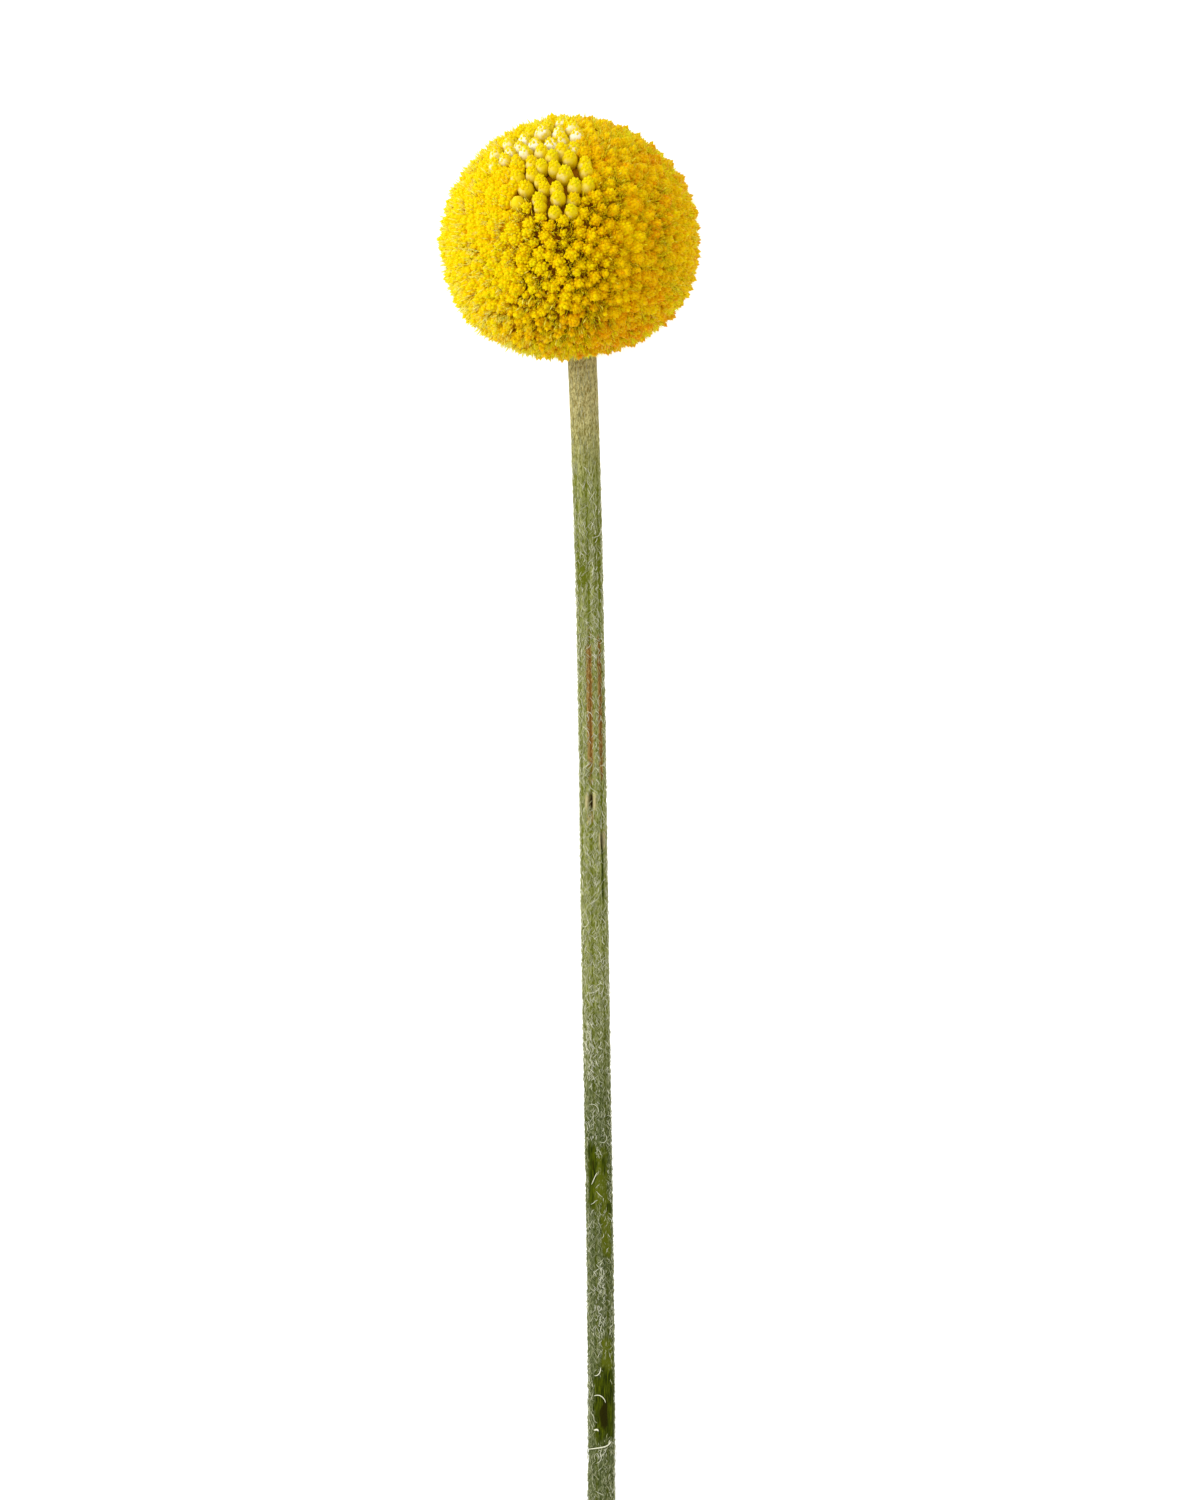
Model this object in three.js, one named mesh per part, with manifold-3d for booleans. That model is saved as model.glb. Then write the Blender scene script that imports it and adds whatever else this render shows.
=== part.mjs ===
// A cut stem of billy buttons (Craspedia globosa), lying on a flat surface.
//
// The flower head is a ball of several hundred small partial heads, set in the crossing
// spirals of a sunflower and packed so tightly that only their knobbed tips show. It grows
// on a ribbed, leafless stem that runs a short way up into its underside.
//
// Millimetres, +Z up. The stem lies along Y with the crown of the head towards +Y, and the
// surface it lies on is Z = 0. The head rests on a few florets flattened by its weight, and
// the stem on the rim of its cut end. The origin is the middle of the part's footprint.

import * as THREE from "three";
import { LoftGeometry } from "three/addons/geometries/LoftGeometry.js";
import { ConvexHull } from "three/addons/math/ConvexHull.js";
import { mergeVertices } from "three/addons/utils/BufferGeometryUtils.js";
import Module from "manifold-3d";

const wasm = await Module();
wasm.setup();

const degrees = THREE.MathUtils.degToRad;

// ---- Driving dimensions ---------------------------------------------------------------

// The head
const HEAD_WIDTH = 28.3; // across the ball, before its knobs' heights vary
const HEAD_HEIGHT = 26.4; // from the underside to the crown
const UNDERSIDE_SQUARENESS = 2.2; // exponent of the lower half's outline; 2 is an ellipse
const CROWN_LIFT = degrees(14); // the crown tips up off the surface
const CROWN_LEAN = degrees(6); // and towards -X
const FLATTENED = 0.6; // how far the lowest florets are pressed flat

// Its partial heads
const PARTIAL_HEADS = 600;
const RELIEF = 1.7; // from a knob's tip down to the gap beside it
const SHOULDER_DROP = 0.55; // from a knob's tip down to its shoulder
const SHOULDER_SHARE = 0.7; // the shoulder's reach, as a share of the way to the gap
const SPIRAL_JITTER = 0.16; // wander off the spiral, as a share of the spacing
const TIP_VARIATION = 0.22; // florets at different stages end at different heights
const SHOULDER_VARIATION = 0.3; // the florets within a partial head differ too

// The stem
const STEM_LENGTH = 150; // from the head's underside to the cut
const STEM_WIDTH_TOP = 3.2; // just under the head
const STEM_WIDTH = 2.95; // further down
const NECK_LENGTH = 30; // over which it narrows from one to the other
const STEM_FALL = 1.25; // 1 is a straight fall to the surface, and more a sagging one
const SOCKET_DEPTH = 4; // how far it runs up into the head
const SOCKET_CLEARANCE = 0.3;
const CUT_SLANT = degrees(35);
const END_PRESS = 0.06; // how far its cut end is pressed flat

// The ribs, and the grooves between them
const RIBS = 7;
const GROOVE_DEPTH = 0.13;
const GROOVE_ANGLE = degrees(89); // where one groove starts, round the stem from +X to +Z
const RIB_TWIST = degrees(29); // that the ribs wind round over the stem's length

// Sideways drift of the stem towards +X, at distances down it from the head's underside
const STEM_DRIFT = [
  [0, 0],
  [14, 0.42],
  [32, 0.86],
  [66, 1.28],
  [97, 1.92],
  [122, 2.0],
  [STEM_LENGTH, 1.7],
];

// Slits in two grooves, where dried leaf bases have come away
const SLITS = [
  { distance: 48, angle: degrees(98), length: 2.4, width: 0.5, depth: 0.35 },
  { distance: 53, angle: degrees(48), length: 3.8, width: 0.45, depth: 0.4 },
];

// Fineness of the faceting
const STEM_RINGS = 48;
const SOCKET_RINGS = 6;
const POINTS_PER_RIB = 4;
const SLIT_DETAIL = 2;

const GOLDEN_ANGLE = Math.PI * (3 - Math.sqrt(5));
const SEED = 20;

// ---- Helpers --------------------------------------------------------------------------

// A repeatable source of random numbers from -1 to 1.
function randomSource(seed) {
  let state = seed;
  return () => {
    state = (state + 0x6d2b79f5) | 0;
    let t = Math.imul(state ^ (state >>> 15), 1 | state);
    t = (t + Math.imul(t ^ (t >>> 7), 61 | t)) ^ t;
    return ((t ^ (t >>> 14)) >>> 0) / 2 ** 31 - 1;
  };
}

// A closed mesh as a solid for cutting and joining.
function toSolid(geometry) {
  const bare = new THREE.BufferGeometry();
  bare.setAttribute("position", geometry.attributes.position);
  bare.setIndex(geometry.index);
  const merged = mergeVertices(bare);
  return new wasm.Manifold(
    new wasm.Mesh({
      numProp: 3,
      vertProperties: merged.attributes.position.array,
      triVerts: new Uint32Array(merged.index.array),
    }),
  );
}

// A solid as a mesh geometry.
function toGeometry(solid) {
  const mesh = solid.getMesh();
  const geometry = new THREE.BufferGeometry();
  geometry.setAttribute("position", new THREE.BufferAttribute(mesh.vertProperties, 3));
  geometry.setIndex(new THREE.BufferAttribute(mesh.triVerts, 1));
  geometry.computeVertexNormals();
  return geometry;
}

// The largest body of a solid, without the scraps that a cut can leave.
function largestBody(solid) {
  const bodies = solid.decompose();
  return bodies.reduce((best, body) => (body.volume() > best.volume() ? body : best));
}

// ---- Flower head ----------------------------------------------------------------------

// Turns the head's own frame, crown at +Y, into the way it lies.
const headTurn = new THREE.Quaternion().setFromEuler(
  new THREE.Euler(CROWN_LIFT, 0, CROWN_LEAN, "ZXY"),
);
const crownDirection = new THREE.Vector3(0, 1, 0).applyQuaternion(headTurn);

// Distance from the head's middle to its surface along a unit direction.
function headReach(direction) {
  const across = Math.hypot(direction.x, direction.z) / (HEAD_WIDTH / 2);
  const along = Math.abs(direction.y) / (HEAD_HEIGHT / 2);
  const power = direction.y < 0 ? UNDERSIDE_SQUARENESS : 2;
  return (across ** power + along ** power) ** (-1 / power);
}

// Unit directions of the partial heads, spiralling down from the crown.
function partialHeadDirections(random) {
  const spacing = Math.sqrt((4 * Math.PI) / PARTIAL_HEADS);
  return Array.from({ length: PARTIAL_HEADS }, (_, i) => {
    const y = 1 - (2 * i + 1) / PARTIAL_HEADS;
    const ring = Math.sqrt(1 - y * y);
    const turn = i * GOLDEN_ANGLE;
    const wander = new THREE.Vector3(random(), random(), random());
    return new THREE.Vector3(ring * Math.cos(turn), y, ring * Math.sin(turn))
      .addScaledVector(wander, SPIRAL_JITTER * spacing)
      .normalize();
  });
}

// The whole knobbed surface as one closed mesh. The triangles between neighbouring knobs
// each hold one gap vertex. A knob is a shoulder vertex facing each of its gaps, and a tip.
function knobbedBall() {
  const random = randomSource(SEED);
  const tips = partialHeadDirections(random);
  const faces = new ConvexHull().setFromPoints(tips).faces;
  const numberOfTip = new Map(tips.map((tip, i) => [tip, i]));
  const numberOfFace = new Map(faces.map((face, f) => [face, f]));

  // A face's three edges, each starting at one of its knobs.
  const edgesOf = (face) => [face.edge, face.edge.next, face.edge.next.next];
  const knobOf = (edge) => numberOfTip.get(edge.tail().point);
  const cornerOf = (face, knob) => edgesOf(face).findIndex((edge) => knobOf(edge) === knob);

  // The vertices are laid out as all the gaps, then all the shoulders, then all the tips.
  const gapAt = (f) => f;
  const shoulderAt = (f, corner) => faces.length + 3 * f + corner;
  const tipAt = (i) => 4 * faces.length + i;
  const positions = [];
  const place = (direction, depth) =>
    positions.push(...direction.clone().multiplyScalar(headReach(direction) - depth));

  const tipDepths = tips.map(() => TIP_VARIATION * (1 + random()));
  const gaps = faces.map((face) => {
    const sum = new THREE.Vector3();
    edgesOf(face).forEach((edge) => sum.add(edge.tail().point));
    return sum.normalize();
  });
  gaps.forEach((gap) => place(gap, RELIEF));
  faces.forEach((face, f) => {
    edgesOf(face).forEach((edge) => {
      const knob = knobOf(edge);
      const shoulder = tips[knob].clone().lerp(gaps[f], SHOULDER_SHARE).normalize();
      place(shoulder, tipDepths[knob] + SHOULDER_DROP + SHOULDER_VARIATION * random());
    });
  });
  tips.forEach((tip, i) => place(tip, tipDepths[i]));

  // Each edge between two knobs gives the knob at its start one cap facet and one flank.
  const triangles = [];
  faces.forEach((face, f) => {
    edgesOf(face).forEach((edge, corner) => {
      const knob = knobOf(edge);
      const g = numberOfFace.get(edge.twin.face);
      const near = shoulderAt(f, corner);
      const far = shoulderAt(g, cornerOf(edge.twin.face, knob));
      triangles.push(tipAt(knob), far, near);
      triangles.push(far, gapAt(g), gapAt(f));
      triangles.push(far, gapAt(f), near);
    });
  });

  const geometry = new THREE.BufferGeometry();
  geometry.setAttribute("position", new THREE.Float32BufferAttribute(positions, 3));
  geometry.setIndex(triangles);
  return geometry;
}

// ---- Stem -----------------------------------------------------------------------------

// Height of the stem's middle line above the surface, falling from the underside's height
// until even the grooves of the cut end meet the surface.
function stemHeight(distance, undersideHeight) {
  const endHeight = STEM_WIDTH / 2 - GROOVE_DEPTH - END_PRESS;
  const left = 1 - distance / STEM_LENGTH;
  return THREE.MathUtils.lerp(endHeight, undersideHeight, left ** STEM_FALL);
}

// The stem's middle line, from inside the head down to the cut.
function stemCourse(underside) {
  const inHead = underside.clone().addScaledVector(crownDirection, SOCKET_DEPTH);
  const points = STEM_DRIFT.map(([distance, drift]) => {
    const height = stemHeight(distance, underside.z);
    return new THREE.Vector3(underside.x + drift, underside.y - distance, height);
  });
  return new THREE.CatmullRomCurve3([inHead, ...points], false, "centripetal");
}

// The stem's middle and its own directions at a distance below the underside. Seen from
// the cut end, side points right and up points up.
function stemFrame(course, distance) {
  const share = (distance + SOCKET_DEPTH) / course.getLength();
  const middle = course.getPointAt(share);
  const forward = course.getTangentAt(share);
  const side = new THREE.Vector3(1, 0, 0).addScaledVector(forward, -forward.x).normalize();
  const up = new THREE.Vector3().crossVectors(forward, side);
  return { middle, forward, side, up };
}

// Radius of the stem at a distance below the underside and an angle round it.
function stemRadius(distance, angle) {
  const neck = THREE.MathUtils.smoothstep(distance, 0, NECK_LENGTH);
  const width = THREE.MathUtils.lerp(STEM_WIDTH_TOP, STEM_WIDTH, neck);
  const fromGroove = angle - GROOVE_ANGLE - (RIB_TWIST * distance) / STEM_LENGTH;
  return (width - GROOVE_DEPTH * (1 + Math.cos(RIBS * fromGroove))) / 2;
}

// A ring of points round the stem, square to it unless it is slanted.
function stemRing(course, distance, extra, slant) {
  const { middle, forward, side, up } = stemFrame(course, distance);
  const count = RIBS * POINTS_PER_RIB;
  return Array.from({ length: count }, (_, j) => {
    const angle = (2 * Math.PI * j) / count;
    const radius = stemRadius(distance, angle) + extra;
    const rise = radius * Math.sin(angle);
    return middle
      .clone()
      .addScaledVector(side, radius * Math.cos(angle))
      .addScaledVector(up, rise)
      .addScaledVector(forward, rise * Math.tan(slant));
  });
}

// The stem as a solid between two distances below the underside, slanted at its end.
function loftStem(course, from, to, { rings = STEM_RINGS, extra = 0, slant = 0 } = {}) {
  const sections = Array.from({ length: rings + 1 }, (_, i) => {
    const distance = THREE.MathUtils.lerp(from, to, i / rings);
    return stemRing(course, distance, extra, i === rings ? slant : 0);
  });
  return toSolid(new LoftGeometry(sections, { capStart: true, capEnd: true }));
}

// A slit's cutter: an almond along the stem, sunk to the slit's depth.
function slitCutter(course, { distance, angle, length, width, depth }) {
  const { middle, forward, side, up } = stemFrame(course, distance);
  const outward = side.multiplyScalar(Math.cos(angle)).addScaledVector(up, Math.sin(angle));
  const across = new THREE.Vector3().crossVectors(outward, forward);
  const placing = new THREE.Matrix4()
    .makeBasis(across, outward, forward)
    .setPosition(middle.addScaledVector(outward, stemRadius(distance, angle)));
  const almond = new THREE.OctahedronGeometry(0.5, SLIT_DETAIL);
  return toSolid(almond.scale(width, 2 * depth, length).applyMatrix4(placing));
}

// ---- Assembly -------------------------------------------------------------------------

// Everything under the surface, for pressing a solid flat where it rests.
function belowSurface() {
  const extent = 2 * (HEAD_HEIGHT + STEM_LENGTH);
  const block = new THREE.BoxGeometry(extent, extent, HEAD_WIDTH);
  return toSolid(block.translate(0, 0, -HEAD_WIDTH / 2));
}

// The head lies with its lowest tips pressed FLATTENED into the surface.
const ball = knobbedBall().applyQuaternion(headTurn);
ball.computeBoundingBox();
const headMiddle = new THREE.Vector3(0, 0, -ball.boundingBox.min.z - FLATTENED);
ball.translate(...headMiddle);

// The stem runs straight on from the crown and the head's middle. It stops short of the
// socket's end by the clearance that it has all round.
const underside = headMiddle.clone().addScaledVector(crownDirection, -HEAD_HEIGHT / 2);
const course = stemCourse(underside);
const stemStart = SOCKET_CLEARANCE - SOCKET_DEPTH;
const stemEnd = course.getLength() - SOCKET_DEPTH;
const stem = loftStem(course, stemStart, stemEnd, { slant: CUT_SLANT });
const socket = loftStem(course, -SOCKET_DEPTH, SOCKET_DEPTH, {
  rings: SOCKET_RINGS,
  extra: SOCKET_CLEARANCE,
});

const ground = belowSurface();
const cutters = SLITS.map((slit) => slitCutter(course, slit));
const solids = {
  flower_head: toSolid(ball).subtract(socket).subtract(ground),
  stem: cutters.reduce((solid, cutter) => solid.subtract(cutter), stem.subtract(ground)),
};

const materials = {
  flower_head: new THREE.MeshStandardMaterial({ color: 0xeec208, roughness: 0.8 }),
  stem: new THREE.MeshStandardMaterial({ color: 0x98a066, roughness: 0.85 }),
};

const billyButtonsStem = new THREE.Group();
for (const [name, solid] of Object.entries(solids)) {
  const mesh = new THREE.Mesh(toGeometry(largestBody(solid)), materials[name]);
  mesh.name = name;
  billyButtonsStem.add(mesh);
}

// The origin goes to the middle of the footprint, on the surface.
const extent = new THREE.Box3().setFromObject(billyButtonsStem);
const centre = extent.getCenter(new THREE.Vector3());
billyButtonsStem.position.set(-centre.x, -centre.y, -extent.min.z);

export default billyButtonsStem;
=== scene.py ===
"""Looks of the billy buttons stem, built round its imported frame.

The flower head is a ball of partial heads. Each is a dome of tiny five-lobed florets with
fans of bristles and papery scales between them. Round the crown they are buds, still wrapped
in cream bracts. The ribbed stem is felted with woolly hairs, and a few rubbed places are
bare. Everything is mesh, placed by seeded rules.

Lengths are in millimetres until build_piece() turns them into metres.
"""

import math

import bmesh
import bpy
import numpy as np
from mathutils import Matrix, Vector, noise


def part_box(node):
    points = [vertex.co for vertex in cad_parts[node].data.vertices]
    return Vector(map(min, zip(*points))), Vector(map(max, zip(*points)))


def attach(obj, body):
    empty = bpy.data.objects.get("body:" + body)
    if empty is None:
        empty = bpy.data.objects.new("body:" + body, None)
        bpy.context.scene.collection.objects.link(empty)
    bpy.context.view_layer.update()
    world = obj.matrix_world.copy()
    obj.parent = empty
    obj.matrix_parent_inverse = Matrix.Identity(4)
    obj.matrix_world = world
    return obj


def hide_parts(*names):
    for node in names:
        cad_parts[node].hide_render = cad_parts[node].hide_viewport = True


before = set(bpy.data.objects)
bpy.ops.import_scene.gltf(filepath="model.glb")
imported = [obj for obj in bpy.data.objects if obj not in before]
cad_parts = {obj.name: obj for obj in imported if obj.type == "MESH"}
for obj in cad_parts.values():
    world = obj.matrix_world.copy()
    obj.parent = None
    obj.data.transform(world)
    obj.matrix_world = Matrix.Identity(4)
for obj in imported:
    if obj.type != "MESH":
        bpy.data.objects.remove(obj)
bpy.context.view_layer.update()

MM = 0.001
rng = np.random.default_rng(20)

# ---- Driving dimensions ----

# The head, as in the frame
HEAD_HALF_WIDTH = 14.15
HEAD_HALF_HEIGHT = 13.2
HEAD_RISE = 0.15  # its form reaches this far above the frame's solid
CROWN_POWER = 1.9  # exponent of the upper half's outline; 2 is an ellipse
UNDERSIDE_POWER = 2.3
CROWN_LIFT = math.radians(14)
CROWN_LEAN = math.radians(6)
CLEARANCE = 0.02  # what lies on the surface stays this far above it
STEM_GAP = math.radians(8)  # half the cone round the stem that carries no florets

# Partial heads
PARTIAL_HEADS = 1450
CROWN_SHARE = 0.68  # share of them that grow on the crown's side, where they are larger
CROWN_SIDE = (-0.2, 0.4)  # it ends between these, measured from the middle to the stem
SPIRAL_JITTER = 0.25  # wander off the spiral, as a share of the spacing
SPREADING_ROUNDS = 4
NEIGHBOURS = 6
PUSH = 0.12  # how hard neighbours push each other apart in each round
VIGOUR = 0.17  # how much of the spacing a strong partial head takes from its neighbours
CORNER = 0.55  # a partial head's corners are this far out, as a share of the spacing
KNOB_LIFT = 0.22  # the highest partial heads stand this far above the head's form
KNOB_VARIATION = 0.5  # the lowest partial head stands this much lower than the highest
STEM_SIDE_VARIATION = 0.3  # the same, in addition, round the stem

# Partial heads stand apart where they grow loosely and merge elsewhere. They are loosest in
# a patch in the middle of the upper side. Each pair is for tight and loose. A patch has the
# ends of an arc, and the degrees from the arc at which it starts to fade and is gone.
LOOSE_PATCH = ((0.0, 0.15, 0.99), (-0.12, -0.88, 0.46), 13, 33)
STEM_SIDE_LOOSE = 0.4  # how loosely they grow all round the stem
FILL = (1.08, 0.95)  # width of a partial head, as a share of the spacing
DOME = (0.95, 1.0)  # how much lower a partial head's outermost florets stand
DOME_POWER = (0.9, 1.4)  # from a peak to a rounder dome
CORE_DEPTH = (1.3, 1.7)

# Florets
FLORETS_PER_HEAD = 11.5  # in a partial head as wide as the usual spacing
COUNT_POWER = 1.6  # how fast their number grows with its width
OPEN_SHARE = 0.05
FLORET_SIZE = (1.15, 1.12)
SPLAY = (0.4, 1.0)  # how far they lean out from the middle of their partial head
UNEVEN = (0.1, 0.28)  # the lowest of a partial head's florets are sunk this much
LEAN_JITTER = 0.08
RIPE_AND_SHADED_RIGHT = 0.54  # how much riper they are, and painted darker as shade, at the head's right,
RIPE_AND_SHADED_STEM = 0.3  # and round the stem;
RIPE_RIM = 0.15  # how much riper they are at the rim of their partial head

# The patches of unopened buds. They are white in the first, which runs past the crown, on
# the flank that faces away from it. The one at SMOOTH_BUD shows no florets at all.
WHITE_PATCH = ((-0.50, 0.70, 0.5), (-0.06, 0.86, 0.5), 4, 16)
BUD_PATCHES = [WHITE_PATCH, ((-0.24, 0.80, 0.55), (-0.10, 0.40, 0.91), 10, 21)]
SMOOTH_BUD = (-0.38, 0.27, 0.88)
BUD_FROM = 0.45  # what grows at least this far inside a patch is a bud
BUD_SHARE = 0.85  # there are this many of them, as a share of the partial heads elsewhere
BUD_LEAN = 0.28  # how far the buds lean towards the crown
BUD_WIDTH = 0.86  # as a share of the spacing
BUD_FLORETS = 13
BUD_FLORET_SIZE = 0.9
TUFT_SINK = 0.1  # how much deeper the florets of the whitest buds sit in their bracts

# Bristles and scales between the partial heads
GAP_FROM = 0.62  # they stand at least this far out from a partial head's middle
FANS = 3200
FAN_BRISTLES = 6
FAN_SPREAD = (math.radians(20), math.radians(42))  # at the head's left and right
BRISTLE_FOOT = 1.2  # depth of their feet
BRISTLE_LENGTH = (0.85, 1.2)
LONGER_LEFT = 0.12  # added at the head's left
LONGER_LOOSE = 0.05  # added in the loose patch
SCALES = 1000
SCALE_FOOT = 1.0
SCALE_SIZE = (0.75, 1.05)
LARGER_LEFT = 0.15

# The stem, as in the frame, less the thickness of its wool
STEM_WIDTH_TOP = 3.1
STEM_WIDTH = 2.87
NECK_LENGTH = 30
RIBS = 7
GROOVE_DEPTH = 0.16
GROOVE_ANGLE = math.radians(89)  # where one groove starts, round the stem from +X to +Z
RIB_TWIST = math.radians(29)  # over STEM_LENGTH
STEM_LENGTH = 150
CUT_SLANT = math.radians(35)
CUT_BLEND = 3.0  # the stem's last rings slant over this length
STEM_IN_HEAD = 3.0

# Fineness of the stem's surface
STEM_RINGS = 500
STEM_AROUND = RIBS * 8

# Wool on the stem
WOOL_STRANDS = 11000
STRAND_LENGTH = (0.3, 0.85)
STRAND_RADIUS = (0.022, 0.05)
CURLS = 60
CURL_LENGTH = (1.0, 2.2)
CURL_RADIUS = 0.028
LONE_HAIR_LIFT = 0.12

# Marks on the stem: distance below the head, angle round the stem in degrees, half the
# length in millimetres, and half the width in degrees
GREEN_MARKS = [
    (23.0, 130, 1.8, 25),
    (22.5, 38, 4.5, 7),
    (23.0, 62, 4.0, 5),
    (88.2, 95, 3.2, 50),
    (93.5, 60, 3.5, 25),
    (107.5, 60, 2.0, 30),
]
BARE_MARKS = [
    (54.8, 48, 3.4, 7),
    (86.4, 120, 2.2, 22),
    (86.8, 67, 0.9, 10),
    (89.4, 126, 2.0, 14),
    (91.5, 42, 0.6, 14),
    (112.8, 70, 3.9, 56),
    (131.0, 110, 2.0, 25),
]
BROWN_MARKS = [(37.5, 99, 7.2, 14), (38.0, 48, 7.5, 13), (86.9, 117, 0.5, 5), (113.9, 78, 1.5, 18)]
WHITE_MARKS = [
    (73.1, 124, 1.7, 24),
    (76.2, 113, 1.6, 22),
    (82.5, 121, 1.6, 22),
    (102.0, 98, 4.0, 24),
    (117.9, 88, 0.6, 22),
]
TAN_MARKS = [(49.4, 104, 0.6, 16), (51.4, 33, 0.5, 12)]

# Slits where dried leaf bases came away: distance, angle, length and width
SLITS = [(47.6, 101, 1.8, 0.46), (51.9, 50, 1.8, 0.34)]
SLIT_DEPTH = 0.45
LIP_HEIGHT = 0.17

# Single hairs that stand out: thickness, and points as distance and angle in degrees
LONE_HAIRS = [
    (0.13, [(117.7, 170), (117.5, 112), (117.2, 75), (117.1, 58), (116.7, 47)]),
    (0.10, [(117.1, 58), (116.95, 57), (116.8, 56), (116.6, 54)]),
    (0.10, [(109.6, 119), (109.5, 104), (109.2, 96), (108.7, 92)]),
    (0.10, [(111.8, 122), (111.7, 103), (111.9, 86), (112.5, 73)]),
    (0.20, [(115.5, 121), (115.45, 114), (115.45, 108), (115.6, 103)]),
    (0.08, [(88.9, 122), (88.4, 113), (87.9, 104), (87.6, 96)]),
]

GOLDEN_ANGLE = math.pi * (3 - math.sqrt(5))


# ---- Helpers ----


def unit(vectors):
    """Vectors scaled to length 1, along the last axis."""
    return vectors / np.linalg.norm(vectors, axis=-1, keepdims=True)


def between(pair, share):
    """Between the two values of a pair."""
    return pair[0] + (pair[1] - pair[0]) * share


def smoothstep(x, low, high):
    """0 below low, 1 above high, and smooth between."""
    t = np.clip((x - low) / (high - low), 0, 1)
    return t * t * (3 - 2 * t)


def frames_along(axes, spins):
    """Two unit vectors square to each axis, turned by the spins."""
    helper = np.where(np.abs(axes[:, 2:3]) < 0.9, [[0, 0, 1.0]], [[1.0, 0, 0]])
    u = unit(np.cross(helper, axes))
    v = np.cross(axes, u)
    cos, sin = np.cos(spins)[:, None], np.sin(spins)[:, None]
    return cos * u + sin * v, cos * v - sin * u


def any_turn(count):
    return rng.uniform(0, 2 * math.pi, count)


def even_turns(count):
    """Angles that share out a full turn."""
    return 2 * math.pi * np.arange(count) / count


def add_object(name, data):
    made = bpy.data.objects.new(name, data)
    bpy.context.scene.collection.objects.link(made)
    return made


def build_piece(name, node, vertices, faces, material, **attributes):
    """A mesh piece that rides on the part and stands for a node of the frame. An attribute
    has a value for each vertex, which is kept from 0 to 1."""
    vertices = np.array(vertices, np.float32)
    vertices[:, 2] = np.maximum(vertices[:, 2], CLEARANCE)
    mesh = bpy.data.meshes.new(name)
    mesh.from_pydata(vertices * MM, [], faces)
    mesh.polygons.foreach_set("use_smooth", np.full(len(faces), True))
    for key, values in attributes.items():
        layer = mesh.attributes.new(key, "FLOAT", "POINT")
        layer.data.foreach_set("value", np.clip(values, 0, 1).astype(np.float32).ravel())
    mesh.materials.append(material)
    piece = add_object(name, mesh)
    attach(piece, "root")
    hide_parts(node)


def build_copies(names, node, vertices, faces, material, **attributes):
    """Pieces that share out many copies of one form.

    vertices is an array of copies by vertices by 3, faces those of one copy, and each
    attribute an array of copies by vertices, or anything that can be spread over one."""
    for name, chosen in zip(names, np.array_split(np.arange(len(vertices)), len(names))):
        own = vertices[chosen]
        offsets = np.arange(len(chosen))[:, None, None] * own.shape[1]
        values = {
            key: np.broadcast_to(value, vertices.shape[:2])[chosen]
            for key, value in attributes.items()
        }
        own_faces = (faces + offsets).reshape(-1, 3)
        build_piece(name, node, own.reshape(-1, 3), own_faces, material, **values)


def stand_copies(forms, tips, axes, spins):
    """Forms whose +Z is put along each axis, from each tip."""
    u, v = frames_along(axes, spins)
    return tips[:, None] + forms @ np.stack([u, v, axes], axis=1)


def place_copies(forms, tips, axes, scales):
    """The same for one form, or for one form each, scaled and turned at random."""
    return stand_copies(forms * scales[:, None, None], tips, axes, any_turn(len(axes)))


def ring_points(radii, heights, around):
    """Vertices of rings of points round the Z axis. The last axis of radii and heights has
    one value for the ring, or one for each of its points."""
    turns = even_turns(around)
    heights = heights + 0 * turns
    return np.stack([radii * np.cos(turns), radii * np.sin(turns), heights], axis=-1)


def ring_faces(rings, around):
    """Triangles of a stack of rings, closed at the bottom by a fan and at the top by a tip.

    The vertices are the rings from the bottom up, and then the tip."""
    faces = []
    for k in range(rings - 1):
        for j in range(around):
            a = k * around + j
            b = k * around + (j + 1) % around
            faces += [(a, b, b + around), (a, b + around, a + around)]
    top = (rings - 1) * around
    faces += [(top + j, top + (j + 1) % around, rings * around) for j in range(around)]
    faces += [(0, j + 1, j) for j in range(1, around - 1)]
    return np.array(faces)


def tube_faces(rings, around):
    """The same, but closed at the top by a fan too, which takes the place of the tip."""
    top = (rings - 1) * around
    faces = ring_faces(rings, around)
    lid = [(top, top + j, top + j + 1) for j in range(1, around - 1)]
    return np.concatenate([faces[: 2 * top], faces[2 * top + around :], lid])


def tubes(paths, normals, radii, around):
    """Vertices of tubes along paths. paths and normals are tubes by points by 3, and radii
    tubes by points."""
    tangents = unit(np.gradient(paths, axis=1))
    v = unit(np.cross(tangents, normals))
    u = np.cross(v, tangents)
    turns = even_turns(around)[:, None]
    rings = np.cos(turns) * u[:, :, None] + np.sin(turns) * v[:, :, None]
    points = paths[:, :, None] + radii[:, :, None, None] * rings
    return points.reshape(len(paths), -1, 3)


# ---- Materials ----


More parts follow.
